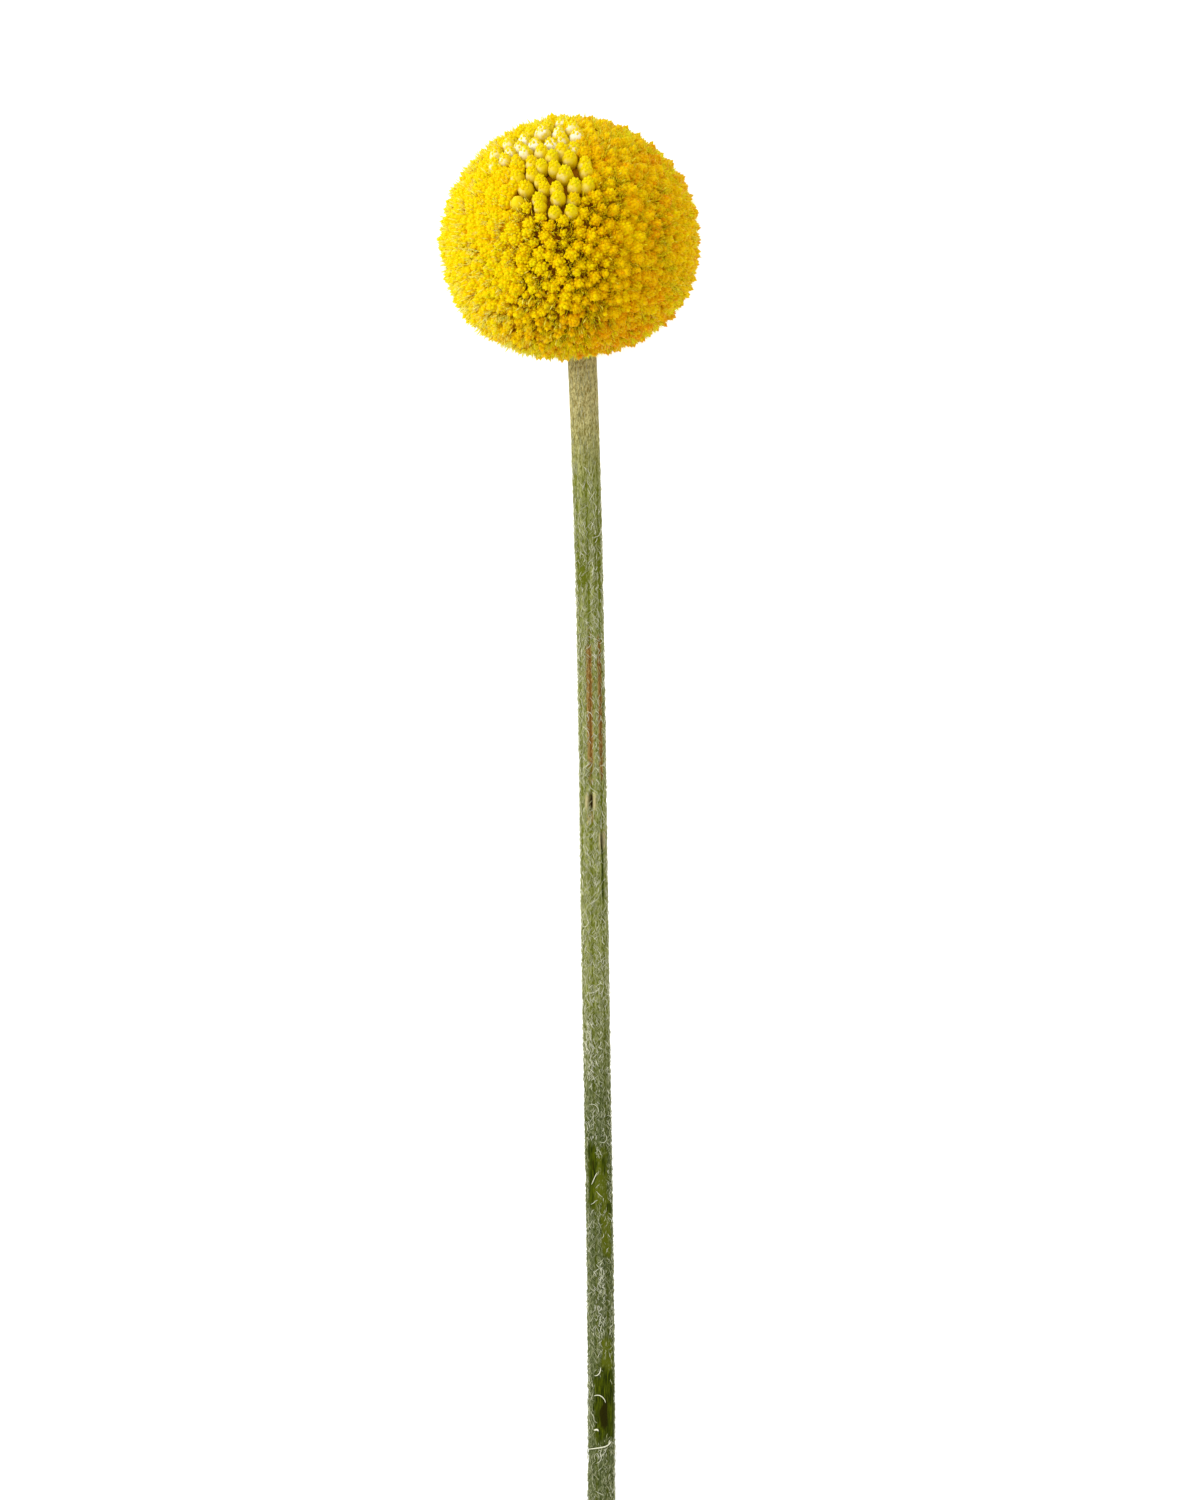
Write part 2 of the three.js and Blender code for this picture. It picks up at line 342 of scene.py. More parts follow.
class Graph:
    """Builds a procedural material, one node at a time. A value is a socket, a constant, or
    the name of an attribute that the mesh carries. Colours are red, green and blue."""

    def __init__(self, name):
        self.material = bpy.data.materials.new(name)
        self.material.use_nodes = True
        self.tree = self.material.node_tree
        self.shader = self.tree.nodes["Principled BSDF"]

    def node(self, kind, inputs, **settings):
        """A node, given its inputs by name or by number."""
        made = self.tree.nodes.new("ShaderNode" + kind)
        for key, value in settings.items():
            setattr(made, key, value)
        for key, value in inputs.items():
            self.feed(made.inputs[key], value)
        return made

    def feed(self, socket, value):
        if isinstance(value, str):
            value = self.node("Attribute", {}, attribute_name=value).outputs["Fac"]
        if isinstance(value, bpy.types.NodeSocket):
            self.tree.links.new(value, socket)
        else:
            socket.default_value = (*value, 1) if socket.type == "RGBA" else value

    def shade(self, colour, roughness, specular, relief=None, **more):
        """The finished material. relief is a height, with its strength and its depth."""
        inputs = {"Base Color": colour, "Roughness": roughness, "Specular IOR Level": specular}
        if relief:
            inputs["Normal"] = self.bump(*relief)
        inputs.update({key.replace("_", " "): value for key, value in more.items()})
        for key, value in inputs.items():
            self.feed(self.shader.inputs[key], value)
        return self.material

    def noise(self, size, detail=3.0, stretch=(1, 1, 1), roughness=0.5):
        """Noise of a feature size in millimetres, squeezed along the object's axes."""
        coordinates = self.node("TexCoord", {}).outputs["Object"]
        scale = tuple(s / MM for s in stretch)
        place = self.node("Mapping", {"Vector": coordinates, "Scale": scale}).outputs[0]
        look = {"Scale": 1 / size, "Detail": detail, "Roughness": roughness}
        return self.node("TexNoise", {"Vector": place, **look}).outputs["Fac"]

    def ramp(self, value, *stops):
        """A colour that changes with a value, from stops of position and colour."""
        made = self.node("ValToRGB", {"Fac": value})
        elements = made.color_ramp.elements
        while len(elements) < len(stops):
            elements.new(0.5)
        for element, (position, colour) in zip(elements, stops):
            element.position = position
            element.color = (*colour, 1)
        return made.outputs["Color"]

    def mix(self, factor, a, b):
        return self.node("Mix", {"Factor": factor, 6: a, 7: b}, data_type="RGBA").outputs[2]

    def math(self, operation, a, b, clamp=False):
        made = self.node("Math", {0: a, 1: b}, operation=operation, use_clamp=clamp)
        return made.outputs[0]

    def times(self, a, b):
        return self.math("MULTIPLY", a, b)

    def centred(self, value, spread):
        """A value round 0.5 made to vary round 0."""
        return self.times(self.math("SUBTRACT", value, 0.5), spread)

    def bump(self, height, strength, distance):
        inputs = {"Height": height, "Strength": strength, "Distance": distance * MM}
        return self.node("Bump", inputs).outputs["Normal"]


YELLOW_SHEEN = (1.0, 0.72, 0.06)
CREAM_SHEEN = (1.0, 0.85, 0.35)
BLACK = (0, 0, 0)
WHITE = (1, 1, 1)


def floret_material():
    """Yellow, and orange where the florets are ripe and where shade is painted on them."""
    g = Graph("floret_yellow")
    patches = g.centred(g.noise(5.0, detail=1.0), 0.4)
    fresh = g.ramp(
        g.math("ADD", "tone", patches, clamp=True),
        (0.0, (0.72, 0.27, 0.0)),
        (0.35, (0.75, 0.44, 0.0)),
        (0.7, (0.84, 0.62, 0.0)),
        (1.0, (0.78, 0.655, 0.002)),
    )
    # Painted shade: the florets turn darker orange low down, deep between each other.
    return g.shade(
        g.mix("depth", fresh, (0.84, 0.48, 0.0)),
        roughness=0.5,
        specular=0.12,
        relief=(g.noise(0.12, detail=2.0), 0.35, 0.03),
        Specular_Tint=YELLOW_SHEEN,
        Subsurface_Weight=0.2,
        Subsurface_Radius=(1.0, 0.6, 0.03),
        Subsurface_Scale=0.0004,
    )


def core_material():
    """Golden where the florets are tight, and dark brown as painted shade in the loose gaps."""
    g = Graph("between_florets")
    # Painted shade: where the partial heads grow loosely, the core and the low parts of their
    # domes turn dark brown.
    loose = g.ramp(
        "unshaded",
        (0.0, (0.34, 0.12, 0.003)),
        (0.5, (0.68, 0.38, 0.001)),
        (1.0, (0.88, 0.58, 0.0)),
    )
    grain = g.noise(0.25)
    colour = g.mix("loose", (0.90, 0.58, 0.0), loose)
    colour = g.mix(g.times(grain, 0.3), colour, (0.55, 0.28, 0.0))
    return g.shade(colour, roughness=0.8, specular=0.05, relief=(grain, 0.6, 0.1))


def bristle_material():
    """Pale at the tips, and golden at the feet as painted shade between the partial heads."""
    g = Graph("bristle_pale")
    colour = g.ramp(
        "tone",
        (0.0, (0.60, 0.54, 0.002)),
        (0.6, (0.92, 0.76, 0.006)),
        (1.0, (0.99, 0.91, 0.08)),
    )
    tip = g.mix(g.times(g.noise(0.5), 0.3), colour, (0.88, 0.70, 0.0))
    # Painted shade: towards their feet the bristles turn golden, and low tones make them olive.
    return g.shade(
        g.mix(g.math("POWER", "up", 2.0), (0.80, 0.44, 0.0), tip),
        roughness=0.6,
        specular=0.0,
        relief=(g.noise(0.1), 0.2, 0.01),
        Subsurface_Weight=0.9,
        Subsurface_Radius=(1.0, 0.9, 0.3),
        Subsurface_Scale=0.0003,
    )


def scale_material():
    """Papery: cream to olive yellow, with a golden foot painted as shade."""
    g = Graph("scale_papery")
    streaks = g.noise(0.3)
    pale = g.mix(streaks, (0.95, 0.84, 0.03), (0.97, 0.91, 0.24))
    tip = g.mix("tone", (0.76, 0.66, 0.01), pale)
    colour, relief = g.mix("up", (0.88, 0.60, 0.0), tip), (streaks, 0.3, 0.03)
    return g.shade(colour, 0.4, specular=0.15, relief=relief, Specular_Tint=YELLOW_SHEEN)


def bract_material():
    """Buds: olive yellow at the foot as painted shade, cream on the flanks, and yellow towards the
    florets.
    """
    g = Graph("bract_papery")
    streaks = g.noise(0.55)
    cream = g.mix(streaks, (0.82, 0.80, 0.48), (0.91, 0.92, 0.86))
    yellow = g.mix(streaks, (0.72, 0.53, 0.0), (0.82, 0.64, 0.002))
    patchy = g.times("white", g.ramp(streaks, (0.36, (0.1,) * 3), (0.50, WHITE)))
    # Painted shade: the foot of each bud is darker olive yellow.
    foot_shade = g.ramp("height", (0.35, BLACK), (0.68, WHITE))
    top = g.ramp("height", (0.7, BLACK), (0.95, WHITE))
    yellow_top = g.times(top, g.math("SUBTRACT", 1.0, g.times("white", 0.5)))
    wrapped = g.mix(foot_shade, (0.58, 0.40, 0.0), g.mix(patchy, yellow, cream))
    colour, relief = g.mix(yellow_top, wrapped, (0.82, 0.60, 0.0)), (streaks, 0.3, 0.05)
    return g.shade(colour, 0.35, specular=0.3, relief=relief, Specular_Tint=CREAM_SHEEN)


def stem_material():
    """Green in the grooves under matted wool, tan under the head, and worn where rubbed."""
    g = Graph("stem_felted")
    fibres = g.noise(0.12, stretch=(1, 0.06, 1), roughness=0.6)
    specks = g.noise(0.17, detail=2.0, stretch=(1, 0.4, 1), roughness=0.7)
    blotches = g.noise(2.2, stretch=(1, 0.4, 1))
    matted = g.math("ADD", g.centred(fibres, 2.0), g.centred(specks, 4.0))
    crest = g.math("ADD", "rib", g.math("SUBTRACT", matted, 0.15), clamp=True)
    green = g.mix(blotches, (0.075, 0.095, 0.002), (0.15, 0.17, 0.008))
    felt = g.mix(blotches, (0.26, 0.28, 0.08), (0.38, 0.40, 0.15))
    low_felt = g.mix(blotches, (0.10, 0.12, 0.04), (0.20, 0.22, 0.10))
    lower = g.mix(crest, (0.03, 0.045, 0.001), low_felt)
    upper = g.mix(crest, (0.22, 0.17, 0.04), (0.52, 0.47, 0.20))
    grown = g.mix("tan", g.mix("low", g.mix(crest, green, felt), lower), upper)
    worn = g.ramp(fibres, (0.4, (0.012, 0.020, 0.0)), (0.65, (0.085, 0.11, 0.001)))
    brown = g.mix(crest, (0.17, 0.075, 0.01), (0.40, 0.26, 0.08))
    brown = g.mix("bare", brown, (0.020, 0.018, 0.0))
    stained = g.mix("brown", g.mix("bare", grown, worn), brown)
    lipped = g.mix("lip", stained, (0.72, 0.62, 0.34))
    # Painted shade: the slits are painted almost black inside.
    colour = g.mix("slit", lipped, (0.025, 0.012, 0.004))
    return g.shade(colour, roughness=0.8, specular=0.05, relief=(crest, 0.9, 0.08))


def wool_material():
    """White to green-grey, and greyer on the lower stem."""
    g = Graph("wool_cream")
    colour = g.ramp(
        "tone",
        (0.0, (0.20, 0.22, 0.06)),
        (0.5, (0.44, 0.45, 0.21)),
        (1.0, (0.90, 0.89, 0.70)),
    )
    grey = g.mix("low", (0.48, 0.49, 0.24), (0.32, 0.36, 0.22))
    colour = g.mix(g.times(g.noise(0.4, detail=2.0), 0.5), colour, grey)
    return g.shade(colour, roughness=0.75, specular=0.2, Sheen_Weight=0.2)


def cut_material():
    """The cut end: a green rind, a ring of tough strands, and white pith."""
    g = Graph("stem_cut")
    cells = g.noise(0.14, detail=2.0)
    face = g.ramp(
        "inward",
        (0.0, (0.16, 0.18, 0.04)),
        (0.25, (0.34, 0.30, 0.11)),
        (0.5, (0.62, 0.56, 0.32)),
        (1.0, (0.74, 0.69, 0.48)),
    )
    colour = g.mix(g.times(cells, 0.45), face, (0.42, 0.34, 0.15))
    return g.shade(colour, roughness=0.9, specular=0.15, relief=(cells, 0.8, 0.06))


# ---- The head's form ----

head_low, head_high = (np.array(corner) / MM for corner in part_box("flower_head"))
head_middle = (head_low + head_high) / 2
head_middle[2] = head_high[2] - HEAD_HALF_WIDTH + HEAD_RISE

level = math.cos(CROWN_LEAN)
crown = np.array(
    [-math.sin(CROWN_LEAN), level * math.cos(CROWN_LIFT), level * math.sin(CROWN_LIFT)]
)
head_side = unit(np.cross(crown, [0, 0, 1.0]))
head_front = np.cross(head_side, crown)


def head_reach(directions):
    """Distance from the head's middle to its surface along unit directions."""
    along = directions @ crown
    across = np.sqrt(np.clip(1 - along**2, 0, 1)) / HEAD_HALF_WIDTH
    power = np.where(along < 0, UNDERSIDE_POWER, CROWN_POWER)
    return (across**power + (np.abs(along) / HEAD_HALF_HEIGHT) ** power) ** (-1 / power)


def head_normals(directions):
    """Outward normals of the head's surface along unit directions."""
    points = directions * head_reach(directions)[:, None]
    along = points @ crown
    power = np.where(along < 0, UNDERSIDE_POWER, CROWN_POWER)[:, None]
    flat = points - along[:, None] * crown
    across = np.linalg.norm(flat, axis=1, keepdims=True)
    outward = flat / np.maximum(across, 1e-6)
    up = np.sign(along)[:, None] * crown
    slope_out = (across / HEAD_HALF_WIDTH) ** (power - 1) / HEAD_HALF_WIDTH
    slope_up = (np.abs(along)[:, None] / HEAD_HALF_HEIGHT) ** (power - 1) / HEAD_HALF_HEIGHT
    return unit(outward * slope_out + up * slope_up)


def head_points(directions, depths):
    """Points at depths under the head's surface."""
    return head_middle + directions * (head_reach(directions) - depths)[:, None]


def spacing_of(count):
    """Angle between neighbours when a count of points is spread over a sphere."""
    return math.sqrt(4 * math.pi / count)


def spiral_directions(count, jitter):
    """Unit directions spiralling down from the crown, clear of the stem."""
    i = np.arange(count)
    y = 1 - (2 * i + 1) / count
    ring = np.sqrt(1 - y * y)
    turn = i * GOLDEN_ANGLE
    local = np.stack([ring * np.cos(turn), y, ring * np.sin(turn)], axis=1)
    local = unit(local + rng.normal(0, jitter * spacing_of(count), local.shape))
    directions = local @ np.stack([head_side, crown, head_front])
    return directions[directions @ -crown < math.cos(STEM_GAP)]


def patch_share(directions, patch, wander=0):
    """1 inside an oval patch of the head and 0 outside it. wander is in degrees."""
    start, end, inner, outer = patch
    start, end = unit(np.array(start)), unit(np.array(end))
    arc = end - start
    along = np.clip((directions - start) @ arc / (arc @ arc), 0, 1)
    nearest = unit(start + along[:, None] * arc)
    angle = np.arccos(np.clip(np.sum(directions * nearest, axis=1), -1, 1))
    angle = angle + rng.normal(0, math.radians(wander), len(angle))
    return 1 - smoothstep(angle, math.radians(inner), math.radians(outer))


def bud_share(directions, wander=0):
    """1 inside the patches of unopened buds and 0 outside them."""
    return np.max([patch_share(directions, patch, wander) for patch in BUD_PATCHES], axis=0)


def lean_to_right(directions):
    """From 0 at the head's left to 1 at its right, with riper florets and painted shade."""
    return smoothstep(directions[:, 0], -0.9, 0.9)


def towards_stem(directions):
    """From 0 at the middle of the head to 1 round the stem, with riper florets and painted shade.
    """
    return smoothstep(-directions[:, 1], 0.4, 0.95)


def from_neighbours(directions):
    """The ways to each direction from those nearest to it."""
    nearness = directions @ directions.T - 2 * np.eye(len(directions))
    nearest = np.argpartition(-nearness, NEIGHBOURS, axis=1)[:, :NEIGHBOURS]
    return directions[:, None] - directions[nearest]


def place_knobs():
    """Directions of the partial heads, and the spacing round each. Those on the crown's
    side are fewer and larger. They are pushed away from their neighbours, so none crowd."""
    directions = spiral_directions(PARTIAL_HEADS, SPIRAL_JITTER)
    share = between((CROWN_SHARE, 1.0), smoothstep(-directions[:, 1], *CROWN_SIDE))
    share *= between((1.0, BUD_SHARE), bud_share(directions))
    directions = directions[rng.uniform(0, 1, len(directions)) < share]
    for _ in range(SPREADING_ROUNDS):
        apart = from_neighbours(directions)
        push = apart / np.sum(apart**2, axis=-1, keepdims=True)
        step = PUSH * spacing_of(PARTIAL_HEADS) ** 2
        directions = unit(directions + step * push.sum(axis=1))
    return directions, np.linalg.norm(from_neighbours(directions), axis=-1).mean(axis=1)


knob_directions, knob_spacing = place_knobs()
knob_vigour = VIGOUR * knob_spacing * np.clip(rng.normal(0, 1, len(knob_spacing)), -2, 2)
knob_axes = head_normals(knob_directions)
knob_variation = KNOB_VARIATION + STEM_SIDE_VARIATION * towards_stem(knob_directions)
knob_depths = knob_variation * rng.uniform(0, 1, len(knob_directions)) - KNOB_LIFT
knob_loose = patch_share(knob_directions, LOOSE_PATCH, wander=5)
knob_loose = np.maximum(knob_loose, STEM_SIDE_LOOSE * towards_stem(knob_directions))
knob_young = bud_share(knob_directions, wander=2)
knob_is_bud = knob_young > BUD_FROM
smooth_bud = np.argmax(knob_directions @ SMOOTH_BUD)
knob_is_bud[smooth_bud] = True


def nearest_knobs(directions):
    """Number of the partial head that each direction belongs to, and how far out in it the
    direction is: 0 in the middle, about 0.9 at its sides and 1 at its corners."""
    nearness = directions @ knob_directions.T
    away = np.sqrt(np.maximum(2 - 2 * nearness, 0)) - knob_vigour
    own = np.argmin(away, axis=1)
    return own, np.maximum(away.min(axis=1), 0) / (CORNER * knob_spacing[own])


def half_widths(knobs):
    """Half the widths of partial heads."""
    full = between(FILL, knob_loose[knobs]) * knob_spacing[knobs] + knob_vigour[knobs]
    return HEAD_HALF_WIDTH * full / 2


def dome_depth(share, loose):
    """How much lower than its tip a partial head's dome is, at a share of half its width."""
    return between(DOME, loose) * share ** between(DOME_POWER, loose)


# ---- Core ----

BODY_AROUND = 7
BODY_SHARES = np.array([0.85, 1.0, 0.85, 0.6, 0.3, 0.0])  # of half its width, from the foot
BODY_WIDTH = (1.0, 0.86)  # its width, as a share of the partial head's
BODY_SINK = (0.2, 0.32)  # it lies this far under the tips of the florets
BODY_FOOT = 1.9


def make_core():
    """The ball that the partial heads grow from."""
    ball = bmesh.new()
    bmesh.ops.create_icosphere(ball, subdivisions=4, radius=1.0)
    directions = unit(np.array([v.co for v in ball.verts]))
    faces = np.array([[v.index for v in f.verts] for f in ball.faces])
    ball.free()
    own, _ = nearest_knobs(directions)
    loose = np.maximum(knob_loose, knob_is_bud)[own]
    vertices = head_points(directions, between(CORE_DEPTH, loose))
    # Painted shade: the core counts as fully shaded, so it is dark brown where the heads grow
    # loosely.
    attributes = {"unshaded": 0 * loose, "loose": loose}
    build_piece("flower_head_core", "flower_head", vertices, faces, core_material(), **attributes)


def make_bodies():
    """The domes of the partial heads, which show between their florets."""
    chosen = np.flatnonzero(~knob_is_bud)
    loose = knob_loose[chosen][:, None]
    depths = between(BODY_SINK, loose) + dome_depth(BODY_SHARES, loose)
    depths[:, 0] = BODY_FOOT
    radii = half_widths(chosen)[:, None] * between(BODY_WIDTH, loose) * BODY_SHARES
    rings = ring_points(radii[..., None], -depths[..., None], BODY_AROUND)
    forms = rings.reshape(len(chosen), -1, 3)[:, : 1 - BODY_AROUND]
    tips = head_points(knob_directions[chosen], knob_depths[chosen])
    vertices = place_copies(forms, tips, knob_axes[chosen], np.ones(len(chosen)))
    faces = ring_faces(len(BODY_SHARES) - 1, BODY_AROUND)
    # Painted shade: each dome is darker towards its foot.
    attributes = {"unshaded": smoothstep(forms[..., 2], -1.4, -0.7), "loose": loose}
    material = core_material()
    build_copies(["partial_heads"], "flower_head", vertices, faces, material, **attributes)


# ---- Florets ----

LOBES = 5

# Rings of a floret from its tube up: radius, height below the tip, and how far the lobes
# stand out and up from the clefts between them
CLOSED_FLORET = [(0.16, -0.60, 0.0, 0.0), (0.215, -0.17, 0.0, 0.0)]
CLOSED_TIP = 0.11
HALF_OPEN_FLORET = [(0.14, -0.60, 0.0, 0.0), (0.21, -0.15, 0.22, 0.11), (0.10, -0.16, 0.30, 0.03)]
HALF_OPEN_TIP = -0.16
OPEN_FLORET = [(0.13, -0.60, 0.0, 0.0), (0.20, -0.10, 0.42, 0.12), (0.09, -0.13, 0.30, 0.02)]
OPEN_TIP = 0.0


def floret_template(rings, tip, around):
    """The vertices of a floret, with its tip's height."""
    radii, heights, stands, rises = np.array(rings).T[..., None]
    lobe = np.cos(LOBES * even_turns(around))
    points = ring_points(radii * (1 + lobe * stands), heights + lobe * rises, around)
    return np.vstack([points.reshape(-1, 3), (0, 0, tip)])


CLOSED = floret_template(CLOSED_FLORET, CLOSED_TIP, LOBES)
HALF_OPEN = floret_template(HALF_OPEN_FLORET, HALF_OPEN_TIP, 2 * LOBES)
OPENING = np.stack([HALF_OPEN, floret_template(OPEN_FLORET, OPEN_TIP, 2 * LOBES)])
CLOSED_FACES = ring_faces(len(CLOSED_FLORET), LOBES)
OPENING_FACES = ring_faces(len(OPEN_FLORET), 2 * LOBES)


def shade_below_tip(heights):
    """Painted shade: 0 on the lit upper part of a floret, 1 deep between the florets."""
    return np.clip((-heights - 0.15) / 0.4, 0, 1)


def florets_of_heads():
    """Number of its partial head for each floret outside the buds, how far out in it the
    floret stands from 0 to 1, and its turn round the middle. They follow a spiral."""
    knobs = np.flatnonzero(~knob_is_bud)
    size = half_widths(knobs) / (HEAD_HALF_WIDTH * spacing_of(PARTIAL_HEADS) / 2)
    counts = np.round(FLORETS_PER_HEAD * size**COUNT_POWER).astype(int)
    own = np.repeat(knobs, counts)
    rank = np.concatenate([np.arange(count) for count in counts])
    share = np.sqrt((rank + 0.4) / np.repeat(counts, counts)) + rng.normal(0, 0.03, len(own))
    turn = rank * GOLDEN_ANGLE + np.repeat(any_turn(len(knobs)), counts)
    return own, np.clip(share, 0, 1), turn + rng.normal(0, 0.12, len(own))


def place_florets():
    """Tips, axes, sizes, tones and openness of the florets that grow outside the buds."""
    own, share, turn = florets_of_heads()
    count = len(own)
    directions, loose = knob_directions[own], knob_loose[own]
    outward, _ = frames_along(knob_axes[own], turn)
    drop = dome_depth(share, loose) + between(UNEVEN, loose) * rng.uniform(0, 1, count) ** 2
    tips = head_points(directions, knob_depths[own]) - drop[:, None] * knob_axes[own]
    tips += (half_widths(own) * share)[:, None] * outward
    tips[:, 2] = np.maximum(tips[:, 2], 3 * CLEARANCE)
    lean_out = (between(SPLAY, loose) * share)[:, None] * outward
    axes = unit(knob_axes[own] + lean_out + rng.normal(0, LEAN_JITTER, (count, 3)))

    sizes = rng.uniform(0.85, 1.15, count) * between(FLORET_SIZE, loose)
    # Painted shade: the tones fall towards the head's right, away from the lamp, and round the
    # stem, where the florets are partly riper as well.
    ripe_and_shaded = RIPE_AND_SHADED_RIGHT * lean_to_right(directions) + RIPE_AND_SHADED_STEM * towards_stem(directions)
    knob_tones = rng.normal(0.95, 0.08, len(knob_directions))
    tones = knob_tones[own] - ripe_and_shaded - RIPE_RIM * share + rng.normal(0, 0.1, count)
    is_open = rng.uniform(0, 1, count) < OPEN_SHARE * (1 - knob_young[own])
    return tips, axes, sizes, tones, is_open


def make_florets():
    """All the florets outside the buds, of which a few are open."""
    tips, axes, sizes, tones, is_open = place_florets()
    material = floret_material()
    kinds = rng.integers(0, len(OPENING), is_open.sum())
    for kind, chosen, forms, faces in (
        ("closed", ~is_open, CLOSED[None], CLOSED_FACES),
        ("open", is_open, OPENING[kinds], OPENING_FACES),
    ):
        vertices = place_copies(forms, tips[chosen], axes[chosen], sizes[chosen])
        attributes = {"tone": tones[chosen, None], "depth": shade_below_tip(forms[..., 2])}
        names = [f"florets_{kind}_{half}" for half in ("upper", "lower")]
        build_copies(names, "flower_head", vertices, faces, material, **attributes)


# ---- Buds ----

BUD_AROUND = 4 * LOBES
BRACT_OVERLAP = 0.14  # step from one bract to the next that it overlaps
BRACT_WIND = 0.8  # how far a bract winds on the way up, as a share of its width
HIGHLIGHT_FLANK_LEFT = 0.8  # how far the white flanks face left as well as from the crown; facing left they are a painted highlight
WHITENESS = (0.4, 1.1)  # outside the white patch and in it
PALE_EDGE = (0.42, -0.2)  # how far out the white flanks start, outside that patch and in it
PALE_BLEND = 0.35
TUFT_TILT = 1.1  # angle over which the florets of a bud lean out
TUFT_DOME = (0.66, 0.66, 1.0)
TUFT_MIDDLE = (0, 0, 0.90)  # depth of the middle of their dome

# Rings of a bud from its foot up: radius and height below its tip
BUD_FLANK = [(0.40, -2.30), (0.66, -1.90), (0.80, -1.52), (0.82, -1.15), (0.74, -0.82)]
BUD_RINGS = [*BUD_FLANK, (0.58, -0.52), (0.38, -0.27), (0.18, -0.10)]


def bud_template():
    """A bud wrapped in bracts that wind up it, each overlapping the next."""
    radii, heights = np.array(BUD_RINGS).T[..., None]
    up = np.arange(len(BUD_RINGS))[:, None] / (len(BUD_RINGS) - 1)
    across_bract = (LOBES * (np.arange(BUD_AROUND) / BUD_AROUND) + BRACT_WIND * up) % 1
    radii = radii * (1 + BRACT_OVERLAP * (across_bract - 0.5))
    points = ring_points(radii, heights, BUD_AROUND)
    return np.vstack([points.reshape(-1, 3), (0, 0, BUD_RINGS[-1][1] + 0.04)])


def tuft_template():
    """The closed florets that show at the top of a bud: vertices, faces and depths."""
    i = np.arange(BUD_FLORETS)
    tilt = TUFT_TILT * np.sqrt(i / BUD_FLORETS)
    turn = i * GOLDEN_ANGLE
    out = np.sin(tilt)
    ways = np.stack([out * np.cos(turn), out * np.sin(turn), np.cos(tilt)], axis=1)
    tips, axes = ways * TUFT_DOME - TUFT_MIDDLE, unit(ways + (0, 0, 1.2))
    vertices = stand_copies(BUD_FLORET_SIZE * CLOSED, tips, axes, turn)
    faces = np.concatenate([CLOSED_FACES + k * len(CLOSED) for k in i])
    return vertices.reshape(-1, 3), faces, np.tile(shade_below_tip(CLOSED[:, 2]), BUD_FLORETS)


def place_buds(chosen):
    """Tips, axes and scales of buds, and the ways from them to the crown, where they lean."""
    normals = knob_axes[chosen]
    to_crown = unit(crown - (normals @ crown)[:, None] * normals + 1e-6)
    axes = unit(normals + BUD_LEAN * to_crown + rng.normal(0, LEAN_JITTER, normals.shape))
    tips = head_points(knob_directions[chosen], knob_depths[chosen])
    widths = BUD_WIDTH * HEAD_HALF_WIDTH * knob_spacing[chosen]
    widths = widths * rng.uniform(0.92, 1.08, len(chosen))
    return tips, axes, widths / (2 * max(radius for radius, _ in BUD_RINGS)), to_crown


def cream_and_highlight_flanks(offsets, axes, to_crown, in_white):
    """1 on the sides of buds that face left and away from the crown, and 0 elsewhere."""
    # Painted highlight: the pale way leans to the left, towards the lamp; away from the crown the
    # cream is the bracts' own.
    pale_way = unit(HIGHLIGHT_FLANK_LEFT * np.array([-1.0, 0, 0]) - to_crown)
    along = np.einsum("nvi,ni->nv", offsets, axes)
    away = np.einsum("nvi,ni->nv", offsets - along[..., None] * axes[:, None], pale_way)
    edge = between(PALE_EDGE, in_white)[:, None]
    return smoothstep(away, edge, edge + PALE_BLEND)


def make_buds():
    """Unopened partial heads, wrapped in bracts."""
    chosen = np.flatnonzero(knob_is_bud)
    tips, axes, scales, to_crown = place_buds(chosen)
    vertices = place_copies(bud_template(), tips, axes, scales)
    in_white = patch_share(knob_directions[chosen], WHITE_PATCH, wander=3)
    white = np.clip(between(WHITENESS, in_white) * rng.uniform(0.75, 1.1, len(chosen)), 0, 1)
    white[chosen == smooth_bud] = 0
    # Painted highlight: the white gathers on the flanks that face left, towards the lamp.
    flanks = cream_and_highlight_flanks(vertices - tips[:, None], axes, to_crown, in_white)
    rings = len(BUD_RINGS)
    heights = np.append(np.repeat(np.linspace(0, 1, rings), BUD_AROUND), 1)
    attributes = {"white": white[:, None] * flanks, "height": heights}
    faces = ring_faces(rings, BUD_AROUND)
    build_copies(["crown_buds"], "flower_head", vertices, faces, bract_material(), **attributes)

    shown = chosen != smooth_bud
    sunk = tips - TUFT_SINK * in_white[:, None] * axes
    make_tufts(sunk[shown], axes[shown], scales[shown])


def make_tufts(tips, axes, scales):
    """The florets at the tips of the buds."""
    tuft, faces, depth = tuft_template()
    vertices = place_copies(tuft, tips, axes, scales)
    attributes = {"tone": rng.normal(0.8, 0.1, len(tips))[:, None], "depth": depth}
    material = floret_material()
    build_copies(["bud_florets"], "flower_head", vertices, faces, material, **attributes)


# ---- Bristles and scales ----

BRISTLE = np.array([(0.04, 0, 0), (-0.02, 0.035, 0), (-0.02, -0.035, 0), (0, 0, 1)])
BRISTLE_FACES = np.array([(0, 1, 3), (1, 2, 3), (2, 0, 3), (0, 2, 1)])
BRISTLE_UP = np.array([0, 0, 0, 1])

SCALE_RINGS = [(0.6, 0.0), (1.0, 0.4), (0.8, 0.75)]  # share of its width, and height
SCALE_WIDTH = 0.08
SCALE_THICKNESS = 0.035
SCALE_TIP = 1.1


